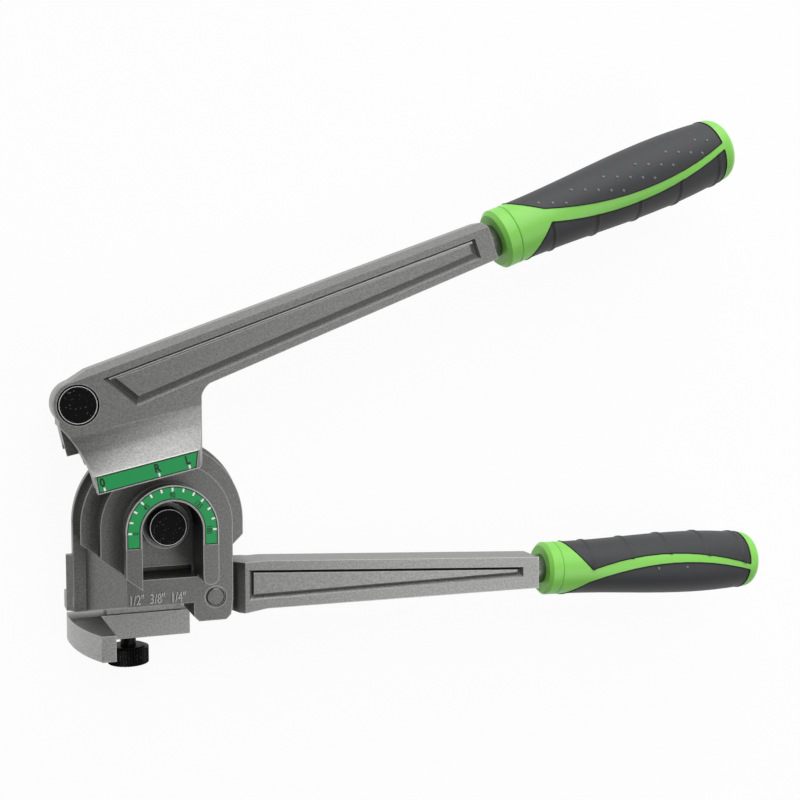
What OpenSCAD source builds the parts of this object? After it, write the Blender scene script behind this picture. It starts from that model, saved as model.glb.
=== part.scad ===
// Three-size lever tube bender lying on its back.
// X runs along the lower handle, Y from the lower handle to the upper one, Z from the back to the dial.
// The origin is the bend axis on the plane that the back of the tool rests on.

/* [Tubes] */
// Diameter of the small tube
tube_small = 6.35; // [5.5:0.05:6.8]
// Diameter of the middle tube
tube_middle = 9.52; // [8.5:0.02:10]
// Diameter of the large tube
tube_large = 12.7; // [11.5:0.1:13.2]
// Radial clearance of a groove round its tube
groove_clear = 0.1; // [0.05:0.01:0.2]

/* [Former] */
// Bend radius of the small groove
bend_small = 21.7; // [21:0.1:23]
// Bend radius of the middle groove
bend_middle = 31.5; // [30.5:0.1:32.5]
// Bend radius of the large groove
bend_large = 39.2; // [38:0.1:40.5]
// Height of the rear flange above the rim of the large groove
flange_rise = 2.2; // [1.5:0.1:4]
// Thickness of the rear flange and back plate
plate_t = 6.1; // [5:0.1:8]
// Thickness of the land between two grooves
land_t = 1.6; // [1.2:0.1:2.2]
// Thickness of the front flange that carries the dial
front_t = 7; // [5.5:0.1:9]
// Half width of the pocket round the pin head
pocket_r = 14.2; // [13:0.1:15]
// Depth of the pocket behind the dial face
pocket_d = 25; // [22:0.5:28]
// Depth of the pocket floor below the bend axis
pocket_drop = 24.8; // [23.5:0.1:26]
// Length of the right leg of the front flange below the bend axis
leg_drop = 26.5; // [25:0.5:28]
// Depth below the bend axis at which the small groove ends
run_out = 21.2; // [20:0.2:23]
// Slope of the diagonal that ends the grooves
run_out_slope = 0.75; // [0.65:0.01:0.85]
// Length of the large groove below the bend axis on the right
ledge_drop = 16; // [13:0.5:18]
// Distance from the bend axis to the right side of the former
side_x = 31.4; // [30.5:0.1:33]
// Depth of the front block's front edge below the bend axis
block_drop = 37.5; // [36:0.5:39]

/* [Foot and rail] */
// Distance from the bend axis to the left end of the rail
rail_left = 44.3; // [43.5:0.1:46]
// Depth of the rail's underside below the bend axis
rail_drop = 43.5; // [42.5:0.1:45]
// Height of the rail
rail_h = 8.5; // [8.2:0.1:9]
// Depth below the bend axis at which the ledge on the left starts
back_ledge = 15.5; // [12:0.5:20]
// Distance from the bend axis to the left side of the foot
foot_x = 12.3; // [10:0.1:14]
// Depth of the foot below the bend axis
foot_drop = 46.9; // [46:0.1:49]
// Chamfer at the corners of the foot
foot_cham = 2.4; // [1:0.1:4]

/* [Dial] */
// Inner radius of the dial band
dial_in = 15.2; // [14.8:0.1:16]
// Outer radius of the dial band
dial_out = 21; // [20:0.1:21.2]
// Depth of the dial's ends below the bend axis
dial_drop = 7; // [5:0.5:10]
// Thickness of the dial plate
dial_t = 0.8; // [0.5:0.1:1.5]
// Gap round the dial and the mark strip in their recesses
inlay_gap = 0.15; // [0.1:0.05:0.3]

/* [Pins] */
// Radius of the shank of the two pivot pins
pin_r = 6; // [5:0.1:6.4]
// Radius of the head of the centre pin
centre_head_r = 9.2; // [8.6:0.1:10.5]
// Thickness of the head of the centre pin
centre_head_t = 7; // [4:0.5:8]
// Radius of the hub under the head of the centre pin
hub_r = 11.4; // [10.8:0.1:12]
// Height of the hub above the pocket floor
hub_h = 6; // [4:0.5:8]
// Radius of the head of the eye pin
eye_head_r = 9.2; // [8.6:0.1:9.6]
// Thickness of the head of the eye pin
eye_head_t = 2.6; // [2:0.1:4]
// Radius of the eye pin's tail in the link
eye_tail_r = 4; // [3.6:0.1:4.4]
// Wall of a pivot bush
bush_wall = 2; // [1.5:0.1:2.4]
// Radial clearance of a running fit
run_clear = 0.05; // [0.02:0.01:0.08]
// Radial clearance of a pressed or pinned fit
press_clear = 0.02; // [0.01:0.01:0.04]
// Outer radius of the clip on the centre pin
clip_r = 8.6; // [8:0.1:9]
// Thickness of a retaining clip
clip_t = 1.2; // [1:0.1:1.5]
// Radius of the groove that this clip snaps into
clip_seat_r = 4.8; // [4:0.1:4.9]
// Outer radius of the clip on the eye pin
eye_clip_r = 6; // [5.6:0.1:6.4]
// Radius of the groove that this clip snaps into
eye_clip_seat_r = 3; // [2.6:0.1:3.4]
// Distance from the end of a pin to its clip
clip_inset = 0.7; // [0.5:0.1:0.9]

/* [Link] */
// Distance from the bend axis to the eye pin
link_len = 72.4; // [70:0.1:75]
// Angle of the link at rest
link_a = 124.7; // [120:0.1:130]
// Thickness of the link plate
link_t = 6.8; // [5.5:0.1:6.9]
// Gap behind and in front of the link plate
link_gap = 0.35; // [0.3:0.05:0.5]
// Radius of the link round the centre pin
link_hub_r = 11.5; // [10.5:0.1:12.5]
// Radius of the link round the eye pin
link_eye_r = 6.6; // [6.4:0.1:7.2]
// Width of the waist of the link
link_waist = 13; // [11:0.5:15]

/* [Forming lever] */
// Angle of the upper lever at rest
lever_a = 20; // [16:0.1:24]
// Angle of the marked edge of the shoe at rest
shoe_a = 12.6; // [10:0.1:16]
// Distance from the eye pin to the collar of the grip
lever_reach = 227.2; // [210:0.1:245]
// Distance of the lever's middle plane from the back
handle_z = 37; // [35:0.5:38]
// Thickness of the lever
lever_t = 20; // [17:0.5:21]
// Radius of the lever's eye
eye_r = 11.2; // [11:0.1:12]
// Depth of the lever's lower edge below its line at the eye end
low_root = 14.7; // [13:0.1:16]
// Depth of the lever's lower edge below its line at the collar end
low_tip = 6.3; // [5:0.1:8]
// Height of the lever's upper edge above its line
lever_top = 13.4; // [12:0.1:15]
// Height of the slanted band along the lever's upper front edge
slant_h = 2.7; // [1.5:0.1:4]
// Depth of that slanted band
slant_t = 7; // [4:0.5:9]
// Height of the grip's axis above the lever's line
grip_rise = 2; // [1:0.1:3]
// Angle of the upper grip to the lever
grip_tilt = 1.5; // [0:0.1:3]
// Depth of the long recess in the side of a handle
channel_d = 4.4; // [3:0.1:5]
// Rim left beside the recess in the lever
channel_rim = 3.1; // [2.5:0.1:3.6]
// Angle between link and shoe when the shoe closes on a tube
closed_a = 28.7; // [28:0.1:29.6]
// Gap between shoe and former when closed
shoe_gap = 0.5; // [0.4:0.05:0.8]
// Side gap between the steps of the shoe and the former
step_gap = 0.35; // [0.3:0.05:0.5]
// Distance from the eye to the right end of the shoe
shoe_right = 57; // [55:0.5:59]
// Lean of the shoe's right side towards its strip
side_lean = 0.34; // [0.2:0.01:0.45]
// Length of the shoe to the left of the eye
shoe_left = 9; // [6:0.2:10]
// Height of the mark strip
strip_h = 7.4; // [6:0.1:8.4]
// Length of the mark strip's lower edge
strip_len = 45.6; // [42:0.2:46]
// Length by which the strip's upper edge runs on to the right
strip_lean = 2.6; // [1:0.1:2.8]
// Length of the hollow curve that flares the shoe forward to its strip
flare_run = 30; // [24:0.5:34]
// Radius of the hollow in the shoe's left side
hollow_r = 56.2; // [52:0.5:64]
// Distance from the eye left to the middle of that hollow
hollow_x = 48; // [44:0.5:54]
// Distance from the eye down to the middle of that hollow
hollow_y = 50; // [46:0.5:54]
// Radius of the fillet between lever and shoe
shoe_fillet = 10; // [7:0.5:12]

/* [Lower handle] */
// Distance from the bend axis down to the lower grip's axis at its collar
lower_drop = 35; // [34:0.1:36]
// Distance from the bend axis to the lower collar
lower_reach = 199.8; // [185:0.1:215]
// Angle of the lower grip to the lower arm
lower_tilt = -1.6; // [-3:0.1:0]
// Thickness of the lower arm
arm_t = 18; // [15:0.5:19]
// Height of the lower arm beside the former
arm_h_root = 23.6; // [21:0.2:25]
// Height of the lower arm at its collar
arm_h_tip = 16.6; // [14:0.2:18]
// Depth of the lower arm's upper edge beside the former below the bend axis
arm_top = 18.6; // [17:0.1:20]
// Thickness of the tang in the former
tang_t = 16; // [13:0.5:18]
// Height of the tang in the former
tang_h = 24; // [21:0.5:24.5]
// Radius of the lock pin
lock_r = 4.6; // [4:0.1:5]
// Depth of the lock pin below the bend axis
lock_drop = 35.5; // [34:0.1:37]
// Distance from the bend axis to the lock pin
lock_x = 22.8; // [22:0.1:24]

/* [Grips] */
// Length of a grip before it is sized
grip_len = 150; // [140:1:160]
// Size of the upper grip
upper_ratio = 0.98; // [0.92:0.01:1.05]
// Size of the lower grip
lower_ratio = 0.88; // [0.84:0.01:1]
// Radius of the collar
collar_r = 15.9; // [15:0.1:16.6]
// Radius of the grip at its fullest
grip_r = 19.3; // [18:0.1:20]
// Length of the collar
collar_len = 10.5; // [9:0.5:12]
// Length of the end ring
end_len = 8; // [7:0.5:10]
// Thickness of the soft pads
pad_t = 2.4; // [1.8:0.1:3]
// Width of the coloured stripe between the pads
stripe_w = 5; // [4:0.1:6]
// Radius of the rod inside a grip
rod_r = 6; // [5:0.1:6.4]
// Length of the rod inside a grip
rod_len = 115; // [95:1:125]
// Radius of the neck in front of a collar
neck_r = 8.6; // [8:0.1:9]
// Length of the neck in front of a collar
neck_len = 5; // [3:0.5:8]
// Number of ribs on the finger pad
ribs = 5; // [3:1:6]
// Height of a rib
rib_h = 0.6; // [0.3:0.1:0.8]

/* [Tube clamp] */
// Gap between the rail and the clamp bar
clamp_gap = 3; // [2:0.1:3.6]
// Height of the clamp bar and jaw
clamp_h = 12.4; // [11:0.2:14]
// Thickness of the clamp bar
bar_t = 15.2; // [14:0.2:15.4]
// Distance from the bend axis to the bar's right end
bar_right = 15.2; // [12:0.2:17]
// Distance from the back to the front of the jaw
jaw_z = 46; // [44:0.5:48]
// Width of the front face of the jaw
jaw_front = 6.3; // [4:0.1:8]
// Radius of the jaw's outer side
jaw_r = 65; // [55:1:80]
// Travel of the clamp from the small to the large tube
clamp_travel = 20; // [18:0.5:21]
// Distance from the bend axis to the thumbscrew
screw_x = 14.8; // [14:0.2:17]
// Distance from the back to the thumbscrew
screw_z = 10.2; // [10.1:0.1:10.6]
// Radius of the thumbscrew's thread
screw_r = 2.5; // [2:0.1:2.8]
// Radius of the thumbscrew's neck
screw_neck_r = 3.8; // [3.4:0.1:4.6]
// Length of the thumbscrew's neck
screw_neck = 5; // [4:0.5:7]
// Radius of the knurled head
knob_r = 10; // [8.5:0.1:10]
// Thickness of the knurled head
knob_h = 8; // [6:0.5:10]
// Number of flutes round the knurled head
knob_flutes = 44; // [30:1:56]
// Width of the nut in the rail
nut_w = 7.6; // [7:0.1:8]
// Height of the nut in the rail
nut_h = 3.4; // [3:0.1:4]
// Length of the nut in the rail
nut_len = 12; // [10:0.5:14]
// Height of the lips that hold the nut in the rail
lip_h = 3; // [2.4:0.1:4]
// Gap round the nut in the rail
nut_gap = 0.3; // [0.25:0.05:0.4]

/* [Hidden] */
$fn = 96;
eps = 0.01;
far = 500;

// Depths of the former's layers, from the back forward
pin_end_z = 0;
link_z = clip_inset + clip_t + link_gap;
former_z = link_z + link_t + link_gap;
plate_z = former_z + plate_t;
groove_r_small = tube_small / 2 + groove_clear;
groove_r_middle = tube_middle / 2 + groove_clear;
groove_r_large = tube_large / 2 + groove_clear;
large_z = plate_z + groove_r_large;
land_large_z = large_z + groove_r_large + land_t;
middle_z = land_large_z + groove_r_middle;
land_middle_z = middle_z + groove_r_middle + land_t;
small_z = land_middle_z + groove_r_small;
dial_z = small_z + groove_r_small + front_t;
flange_r = bend_large + flange_rise;
pocket_z = dial_z - pocket_d;
hub_z = pocket_z + hub_h;

// Places of the eye pin, the lever and the shoe
eye = [link_len * cos(link_a), link_len * sin(link_a)];
lever_back = handle_z - lever_t / 2;
lever_front = handle_z + lever_t / 2;
web_front = lever_front;
shoe_reach = link_len * cos(closed_a) - shoe_gap;
drop_small = shoe_reach - bend_small;
drop_middle = shoe_reach - bend_middle;
drop_large = shoe_reach - bend_large;
step_large_z = plate_z + step_gap;
step_middle_z = land_large_z + step_gap;
step_small_z = land_middle_z + step_gap;
strip_start = -1;

// Places in the lower handle and the clamp
arm_back = handle_z - arm_t / 2;
arm_front = handle_z + arm_t / 2;
tang_back = land_middle_z - 3 - tang_t;
tang_top = -arm_top - 0.9;
tang_x = pocket_r + 2;
arm_start = side_x + 16;
clamp_top = -rail_drop - clamp_gap;
clamp_low = clamp_top - clamp_h;
jaw_right = bend_small + groove_r_small + 0.5;
slot_w = screw_r + 0.3;
knob_top = clamp_low - screw_neck;

grip_peak = 0.71 * grip_len;

function lever_low(u) = low_root + (low_tip - low_root) * u / lever_reach;
function stripe(x) = grip_r * (-0.31 + 0.45 * pow((x / grip_len - 0.575) / 0.385, 2));
function stripe_half(x) = stripe_w / 2 * (1.75 - x / grip_len);
function grip_side(x) = x < grip_peak
    ? collar_r + (grip_r - collar_r) * (0.5 - 0.5 * cos(180 * (x - collar_len) / (grip_peak - collar_len)))
    : grip_r - 1.7 * pow((x - grip_peak) / (grip_len - end_len - grip_peak), 2);

module paint_casting() { color("#86878a") children(); }
module paint_black() { color("#17181a") children(); }
module paint_steel() { color("#b9bbbe") children(); }
module paint_green() { color("#1e9a50") children(); }
module paint_lime() { color("#6fd43f") children(); }
module paint_pad() { color("#3b3c3e") children(); }

// Shapes of the former

module groove_profile() {
    difference() {
        polygon([[0, former_z], [flange_r, former_z], [flange_r, plate_z], [bend_large, plate_z],
            [bend_large, land_large_z], [bend_middle, land_large_z], [bend_middle, land_middle_z],
            [bend_small, land_middle_z], [bend_small, dial_z], [0, dial_z]]);
        translate([bend_large, large_z]) circle(groove_r_large);
        translate([bend_middle, middle_z]) circle(groove_r_middle);
        translate([bend_small, small_z]) circle(groove_r_small);
    }
}

module diagonal_keep() {
    slope_end = -run_out - run_out_slope * (bend_small - pocket_r);
    slope_start = -run_out + run_out_slope * (rail_left - bend_small);
    polygon([[-rail_left, 1], [-rail_left, slope_start], [-pocket_r, slope_end], [-pocket_r, 1]]);
}

module straight_grooves() {
    intersection() {
        rotate([90, 0, 0]) linear_extrude(run_out + bend_small) mirror([1, 0]) groove_profile();
        linear_extrude(dial_z) diagonal_keep();
    }
}

// The block in front of the back plate keeps clear of all three tubes on its left
module front_block() {
    clear_small = groove_r_small + 0.2;
    clear_large = groove_r_large + 0.2;
    lean = atan2(small_z - large_z, bend_large - bend_small);
    near = [-bend_small + clear_small * sin(lean), small_z - clear_small * cos(lean)];
    deep = [-bend_large + clear_large * sin(lean), large_z - clear_large * cos(lean)];
    run = (near[0] - deep[0]) / (near[1] - deep[1]);
    left_front = near[0] + run * (land_middle_z - near[1]);
    left_back = deep[0] + run * (plate_z - deep[1]);
    slope = (rail_drop - block_drop) / (land_middle_z - plate_z);
    low = -rail_drop + 0.3;
    intersection() {
        rotate([90, 0, 0]) linear_extrude(rail_drop + 5)
            polygon([[left_back, plate_z - 2], [left_back, plate_z], [left_front, land_middle_z],
                [side_x, land_middle_z], [side_x, plate_z - 2]]);
        rotate([90, 0, 90]) linear_extrude(2 * far, center = true)
            polygon([[5, 0], [low, 0], [low, plate_z], [-block_drop + 5 * slope, land_middle_z + 5],
                [5, land_middle_z + 5]]);
    }
}

// Ledge on the left of the back plate, which slants back from the plate's face
module left_ledge() {
    translate([0, -back_ledge, 0]) rotate([90, 0, 0]) linear_extrude(rail_drop - back_ledge - 0.2)
        polygon([[-flange_r + 1, former_z + 0.5], [-rail_left, former_z + 0.5], [-rail_left, former_z + 2],
            [-flange_r, plate_z - 1], [-flange_r + 1, plate_z - 1]]);
}

// The large groove runs on below the bend axis on the right, up to a bevelled end
module right_ledge() {
    intersection() {
        rotate([90, 0, 0]) linear_extrude(ledge_drop) groove_profile();
        linear_extrude(land_large_z)
            polygon([[side_x - 1, 0], [flange_r, 0], [flange_r, -ledge_drop / 3], [side_x - 1, -ledge_drop]]);
    }
}

module foot_outline() {
    polygon([[foot_x, -block_drop + foot_cham], [foot_x, -foot_drop + foot_cham],
        [foot_x + foot_cham, -foot_drop], [side_x - foot_cham - 1, -foot_drop],
        [side_x - 1, -foot_drop + foot_cham], [side_x, -block_drop + foot_cham]]);
}

module plate_outline() {
    polygon([[-flange_r, 0], [-flange_r, -rail_drop], [side_x, -rail_drop], [side_x, -ledge_drop / 2], [side_x - 1, 0]]);
}

module right_leg() {
    leg_w = bend_small - pocket_r;
    translate([pocket_r, -leg_drop + leg_w / 2]) square([leg_w, leg_drop - leg_w / 2]);
    translate([pocket_r + leg_w / 2, -leg_drop + leg_w / 2]) circle(leg_w / 2);
}

module pocket_outline() {
    circle(pocket_r);
    translate([-pocket_r, -pocket_drop]) square([2 * pocket_r, pocket_drop]);
}

module dial_outline(grow) {
    difference() {
        union() {
            intersection() {
                circle(dial_out + grow);
                translate([-far, 0]) square([2 * far, far]);
            }
            translate([-dial_out - grow, -dial_drop - grow]) square([2 * (dial_out + grow), dial_drop + grow]);
        }
        circle(dial_in - grow);
        translate([-dial_in + grow, -far]) square([2 * (dial_in - grow), far]);
    }
}

// T-slot in the underside of the rail, with a window on its right through which the nut goes in
module rail_slot() {
    left_end = -screw_x - clamp_travel - nut_len / 2 - nut_gap;
    right_end = -screw_x + nut_len / 2 + nut_gap;
    window = nut_len + 2 * nut_gap;
    lip_top = -rail_drop + lip_h;
    translate([left_end, -rail_drop - eps, screw_z - slot_w])
        cube([right_end - left_end, lip_h + 1, 2 * slot_w]);
    translate([left_end, lip_top, screw_z - nut_w / 2 - nut_gap])
        cube([right_end - left_end + window, nut_h + 2 * nut_gap + 0.6, nut_w + 2 * nut_gap]);
    translate([right_end, -rail_drop - eps, screw_z - nut_w / 2 - nut_gap])
        cube([window, lip_h + 1, nut_w + 2 * nut_gap]);
}

module tang_slot() {
    translate([tang_x - 0.5, tang_top - tang_h - press_clear, tang_back - press_clear])
        cube([far, tang_h + 2 * press_clear, tang_t + 2 * press_clear]);
}

module former() {
    paint_casting() difference() {
        union() {
            rotate_extrude(angle = 180) groove_profile();
            straight_grooves();
            front_block();
            translate([0, 0, plate_z - eps]) linear_extrude(land_middle_z - plate_z + eps) foot_outline();
            translate([0, 0, former_z]) linear_extrude(plate_t) plate_outline();
            translate([-rail_left, -rail_drop, 0]) cube([rail_left + side_x, rail_h, former_z + 2]);
            left_ledge();
            right_ledge();
            translate([0, 0, land_middle_z - eps]) linear_extrude(dial_z - land_middle_z + eps) right_leg();
        }
        difference() {
            translate([0, 0, pocket_z]) linear_extrude(far) pocket_outline();
            cylinder(r = hub_r, h = hub_z);
        }
        translate([-pocket_r + 0.6, -pocket_drop, pocket_z - 9]) cube([2 * pocket_r - 1.2, 3.8, 10]);
        translate([0, 0, -eps]) cylinder(r = pin_r + press_clear, h = far);
        translate([0, 0, dial_z - dial_t - inlay_gap]) linear_extrude(far) dial_outline(inlay_gap);
        translate([lock_x, -lock_drop, plate_z - 3]) cylinder(r = lock_r + press_clear, h = far);
        translate([lock_x, -lock_drop, land_middle_z - 0.8]) cylinder(r = lock_r + 0.6, h = far);
        tang_slot();
        rail_slot();
    }
}

module angle_dial() {
    paint_green() translate([0, 0, dial_z - dial_t - inlay_gap]) linear_extrude(dial_t) dial_outline(0);
}

module clip_groove(seat) {
    translate([0, 0, clip_inset]) difference() {
        cylinder(r = pin_r + 1, h = clip_t);
        translate([0, 0, -eps]) cylinder(r = seat, h = clip_t + 2 * eps);
    }
}

module clip(out, seat) {
    translate([0, 0, clip_inset]) linear_extrude(clip_t - 0.1) difference() {
        circle(out);
        circle(seat + 0.05);
        translate([-seat * 0.8, -far]) square([1.6 * seat, far]);
    }
}

module centre_pin() {
    paint_black() difference() {
        union() {
            cylinder(r = pin_r, h = hub_z + eps);
            translate([0, 0, hub_z]) cylinder(r = centre_head_r, h = centre_head_t - 1);
            translate([0, 0, hub_z + centre_head_t - 1]) cylinder(r1 = centre_head_r, r2 = centre_head_r - 1, h = 1);
        }
        clip_groove(clip_seat_r);
    }
}

module centre_pin_clip() {
    paint_steel() rotate([0, 0, link_a + 90]) clip(clip_r, clip_seat_r);
}

module handle_lock_pin() {
    bevel = 0.8;
    paint_casting() translate([lock_x, -lock_drop, plate_z - 3]) {
        cylinder(r = lock_r, h = land_middle_z - plate_z + 3.2 - bevel);
        translate([0, 0, land_middle_z - plate_z + 3.2 - bevel]) cylinder(r1 = lock_r, r2 = lock_r - bevel, h = bevel);
    }
}

// Lower arm: side view crossed with plan view

module arm_side() {
    tip = lower_reach - neck_len;
    tang_low = tang_top - tang_h;
    middle = -lower_drop - 0.2;
    polygon([[tang_x, tang_low], [tang_x, tang_top], [side_x, tang_top], [side_x + 7, -arm_top - 0.2], [arm_start, -arm_top],
        [tip, middle + arm_h_tip / 2], [tip, middle - arm_h_tip / 2],
        [arm_start, -arm_top - arm_h_root], [side_x + 3, tang_low - 0.6], [side_x, tang_low]]);
}

module arm_plan() {
    tip = lower_reach - neck_len;
    tang_front = tang_back + tang_t;
    polygon([[tang_x, tang_back], [side_x + 2, tang_back], [side_x + 10, arm_back], [tip, arm_back],
        [tip, arm_front], [side_x + 5, arm_front], [side_x + 0.6, tang_front], [tang_x, tang_front]]);
}

// Long recess in the front of the lower arm, with leaning walls
module arm_recess() {
    left = side_x + 7;
    right = lower_reach - neck_len - 9;
    rim = channel_rim + 1.6;
    top_a = atan((arm_top - lower_drop + 0.2 + arm_h_tip / 2 - 1) / (lower_reach - neck_len - arm_start));
    low_a = atan((arm_top + arm_h_root - lower_drop - 0.2 - arm_h_tip / 2 + 2) / (lower_reach - neck_len - arm_start));
    intersection() {
        translate([0, -far / 2, arm_front - channel_d]) cube([lower_reach, far, 2 * channel_d]);
        lean_wall([arm_start, -arm_top - rim], 180 + top_a, arm_front, 0.4);
        lean_wall([arm_start, -arm_top - arm_h_root + rim], low_a, arm_front, 0.8);
        lean_wall([left, 0], -90, arm_front, 1);
        lean_wall([right, 0], 90, arm_front, 0.5);
    }
}

// Outline of the flat recess in the back of the lower arm
module arm_back_outline() {
    left = arm_start + 6;
    right = lower_reach - neck_len - 12;
    rim = channel_rim + 1.6;
    end_h = arm_h_tip / 2 - rim;
    polygon([[left, -arm_top - arm_h_root + rim], [left, -arm_top - 1 - rim], [right, -lower_drop + end_h],
        [right, -lower_drop - end_h]]);
}

module neck_and_rod() {
    translate([-neck_len - 1, 0, 0]) rotate([0, 90, 0]) cylinder(r = neck_r, h = neck_len + 1.5);
    rotate([0, 90, 0]) cylinder(r = rod_r, h = rod_len);
}

module lower_place() {
    translate([lower_reach, -lower_drop, handle_z]) rotate([0, 0, lower_tilt]) scale(lower_ratio) children();
}

module lower_arm() {
    paint_casting() difference() {
        union() {
            intersection() {
                linear_extrude(far) arm_side();
                rotate([90, 0, 0]) linear_extrude(2 * far, center = true) arm_plan();
            }
            lower_place() neck_and_rod();
        }
        arm_recess();
        translate([0, 0, arm_back + channel_d / 2 - far]) linear_extrude(far) arm_back_outline();
        translate([lock_x, -lock_drop, 0]) cylinder(r = lock_r + press_clear, h = far);
    }
}

// Grips, drawn along +X from the collar with the palm side towards +Y

module grip_body(cut) {
    steps = 14;
    body_len = grip_len - collar_len - end_len;
    side = [for (i = [0 : steps]) let (x = collar_len + body_len * i / steps) [x, grip_side(x) - cut]];
    rotate([90, 0, 90]) rotate_extrude() polygon(concat([[0, collar_len]],
        [for (p = side) [p[1], p[0]]], [[0, grip_len - end_len]]));
}

module collar() {
    rotate([90, 0, 90]) rotate_extrude() polygon([[0, 0], [collar_r - 2, 0], [collar_r, 2], [collar_r, collar_len - 3],
        [collar_r - 0.5, collar_len - 2.5], [collar_r - 0.5, collar_len - 2], [collar_r, collar_len - 1.5],
        [collar_r, collar_len + eps], [0, collar_len + eps]]);
}

module end_ring() {
    end_r = grip_side(grip_len - end_len);
    dome = 6;
    translate([grip_len - end_len - eps, 0, 0]) rotate([90, 0, 90]) rotate_extrude() difference() {
        union() {
            square([end_r, end_len - dome]);
            translate([0, end_len - dome]) square([end_r - dome, dome]);
            translate([end_r - dome, end_len - dome]) intersection() {
                circle(dome);
                square(dome);
            }
        }
        translate([0, end_len]) circle(2.4);
    }
}

module pad_outline(palm) {
    steps = 12;
    turn = palm ? 1 : -1;
    start = collar_len + (palm ? 2 : 3.5);
    left = start + (palm ? 14.5 : 14);
    right = grip_len - end_len - 1;
    edge = [for (i = [0 : steps]) let (x = left + (right - left) * i / steps) [x, stripe(x) + turn * stripe_half(x)]];
    polygon(concat([[start - 1, turn * 2 * grip_r], [start, turn * collar_r]], edge, [[right, turn * 2 * grip_r]]));
}

module pad(palm) {
    intersection() {
        difference() {
            union() {
                grip_body(0);
                if (!palm) pad_ribs();
            }
            grip_body(pad_t);
        }
        linear_extrude(4 * grip_r, center = true) pad_outline(palm);
    }
}

module pad_ribs() {
    pitch = (grip_len - collar_len - end_len - 24) / (ribs - 1);
    for (i = [0 : ribs - 1]) {
        x = collar_len + 18 + pitch * i;
        edge = grip_side(x) - 0.8;
        translate([x, 0, 0]) rotate([90, 0, 90]) rotate_extrude()
            polygon([[0, -3], [edge, -3], [edge + 0.8 + rib_h, 0], [edge + 0.8 + rib_h, 1], [edge, 2.5], [0, 2.5]]);
    }
}

module grip_core() {
    difference() {
        union() {
            collar();
            end_ring();
            difference() {
                grip_body(0);
                difference() {
                    linear_extrude(4 * grip_r, center = true) {
                        pad_outline(true);
                        pad_outline(false);
                    }
                    grip_body(pad_t);
                }
            }
        }
        translate([-eps, 0, 0]) rotate([0, 90, 0]) cylinder(r = rod_r + press_clear, h = rod_len + 1);
        translate([-eps, 0, 0]) rotate([0, 90, 0]) cylinder(r = neck_r + 0.1, h = 0.7);
    }
}

module lower_grip_core() { paint_lime() lower_place() mirror([0, 1, 0]) grip_core(); }
module lower_palm_pad() { paint_pad() lower_place() mirror([0, 1, 0]) pad(true); }
module lower_finger_pad() { paint_pad() lower_place() mirror([0, 1, 0]) pad(false); }

// Link behind the former, with a boss that reaches forward to the lever

module at_eye(turn) {
    translate([eye[0], eye[1], 0]) rotate([0, 0, turn]) children();
}

module link_outline() {
    mid = link_len / 2;
    side = link_waist / 2;
    circle(link_hub_r);
    translate([link_len, 0]) circle(link_eye_r);
    polygon([[0, -link_hub_r + 0.4], [mid, -side], [link_len, -link_eye_r + 0.3], [link_len, link_eye_r - 0.3],
        [mid, side], [0, link_hub_r - 0.4]]);
}

module link() {
    paint_casting() rotate([0, 0, link_a]) difference() {
        union() {
            translate([0, 0, link_z]) linear_extrude(link_t) link_outline();
            translate([link_len, 0, link_z]) cylinder(r = link_eye_r, h = lever_back - link_gap - link_z);
        }
        cylinder(r = pin_r + bush_wall + press_clear, h = far);
        translate([link_len, 0, 0]) cylinder(r = eye_tail_r + press_clear, h = far);
    }
}

module bush(low, high) {
    translate([0, 0, low]) difference() {
        cylinder(r = pin_r + bush_wall, h = high - low);
        translate([0, 0, -eps]) cylinder(r = pin_r + run_clear, h = high - low + 2 * eps);
    }
}

module link_bush() {
    paint_steel() bush(link_z, link_z + link_t);
}

module eye_pin() {
    head_z = lever_front - 0.3 - eye_head_t;
    paint_black() at_eye(0) difference() {
        union() {
            cylinder(r = eye_tail_r, h = lever_back);
            translate([0, 0, lever_back - 0.1]) cylinder(r = pin_r, h = head_z - lever_back + 0.2);
            translate([0, 0, head_z]) cylinder(r = eye_head_r, h = eye_head_t - 0.4);
            translate([0, 0, head_z + eye_head_t - 0.4]) cylinder(r1 = eye_head_r, r2 = eye_head_r - 0.4, h = 0.4);
        }
        clip_groove(eye_clip_seat_r);
    }
}

module eye_pin_clip() {
    paint_steel() at_eye(link_a + 90) clip(eye_clip_r, eye_clip_seat_r);
}

// Forming lever: arm, eye and stepped shoe in one casting

module lever_outline() {
    tip = lever_reach - neck_len;
    polygon([[-2, eye_r - 0.6], [10, lever_top], [tip, lever_top], [tip, -lever_low(tip)], [4, -lever_low(4)], [0, 0]]);
}

// Room on the inner side of a wall that leans inwards with depth, from a line on the face at height z
module lean_wall(at, turn, z, lean) {
    deep = 9;
    translate([at[0], at[1], z]) rotate([0, 0, turn]) rotate([90, 0, 90]) linear_extrude(2 * far, center = true)
        polygon([[-2 * lean, 2], [deep * lean, -deep], [far, -deep], [far, 2]]);
}

// Long recess in the front of the lever, with leaning walls
module lever_recess() {
    left = 14.5;
    right = lever_reach - neck_len - 9;
    high = lever_top - channel_rim - 2.9;
    low = channel_rim + 0.5;
    edge_a = atan((low_root - low_tip) / lever_reach);
    rotate([0, 0, lever_a]) intersection() {
        translate([0, -far / 2, lever_front - channel_d]) cube([lever_reach, far, 2 * channel_d]);
        lean_wall([0, high], 180, lever_front, 0.35);
        lean_wall([0, low - low_root], edge_a, lever_front, 0.8);
        lean_wall([left, high], -60, lever_front, 0.7);
        lean_wall([right, 0], 90, lever_front, 0.5);
    }
}

// Outline of the flat recess in the back of the lever
module back_recess_outline() {
    left = 18;
    right = lever_reach - neck_len - 12;
    high = lever_top - channel_rim - 3;
    low = channel_rim + 1;
    polygon([[left, high], [right, high], [right, low - lever_low(right)], [left + 9.5, low - lever_low(left + 9.5)]]);
}

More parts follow.
